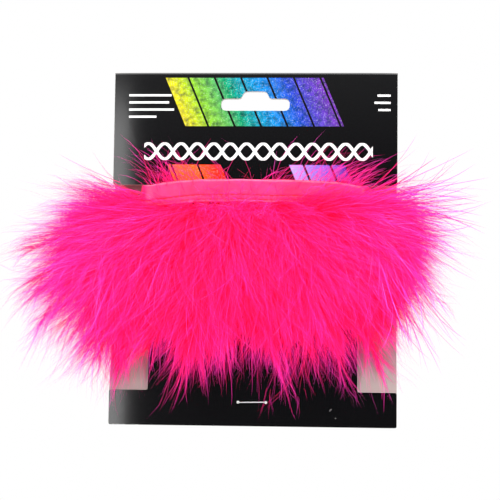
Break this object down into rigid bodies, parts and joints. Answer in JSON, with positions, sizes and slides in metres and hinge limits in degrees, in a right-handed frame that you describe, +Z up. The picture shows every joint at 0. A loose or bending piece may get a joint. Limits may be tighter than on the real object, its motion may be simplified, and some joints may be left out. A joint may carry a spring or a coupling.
{
  "type": "marabou feather trim on a hang card",
  "caption": "Fluffy marabou feather trim sewn to a satin ribbon, wound flat round the waist of a folded, stapled hang card with a euro hang slot.",
  "frame": {"origin": "hook point: the top of the hang slot's crown, at mid-width, on the card's front face", "axes": "+Z up as it hangs, +X to the viewer's right as seen from the front, +Y away from the viewer; the front faces -Y"},
  "size_m": [0.2298, 0.0378, 0.165],
  "materials": {
    "card_board": "gloss",
    "staple_wire": "satin",
    "satin_ribbon": "satin",
    "sewing_thread": "satin",
    "marabou_plumes": "matte"
  },
  "bodies": {
    "hang_card": {"front_panel": "card_board", "satin_ribbon": "satin_ribbon", "stitch_row_upper": "sewing_thread", "stitch_row_lower": "sewing_thread", "front_plumes_1": "marabou_plumes", "front_plumes_2": "marabou_plumes", "front_plumes_3": "marabou_plumes", "front_plumes_4": "marabou_plumes", "front_plumes_5": "marabou_plumes", "front_plumes_6": "marabou_plumes", "front_plumes_7": "marabou_plumes", "front_plumes_8": "marabou_plumes", "rear_plumes_1": "marabou_plumes", "rear_plumes_2": "marabou_plumes", "rear_plumes_3": "marabou_plumes", "rear_plumes_4": "marabou_plumes", "rear_plumes_5": "marabou_plumes", "rear_plumes_6": "marabou_plumes", "rear_plumes_7": "marabou_plumes", "rear_plumes_8": "marabou_plumes", "left_plumes_1": "marabou_plumes", "left_plumes_2": "marabou_plumes", "left_plumes_3": "marabou_plumes", "right_plumes_1": "marabou_plumes", "right_plumes_2": "marabou_plumes", "right_plumes_3": "marabou_plumes"},
    "back_flap": {"back_panel": "card_board"},
    "staple_wire": {"staple": "staple_wire"}
  },
  "joints": [
    {"name": "card_fold", "type": "hinge", "parent": "hang_card", "child": "back_flap", "pos_m": [0, 0.00065, 0.009], "axis": [1, 0, 0], "range_deg": [0, 150]},
    {"name": "staple_pull", "type": "slide", "parent": "hang_card", "child": "staple_wire", "axis": [0, -1, 0], "range_m": [0, 0.006]}
  ]
}
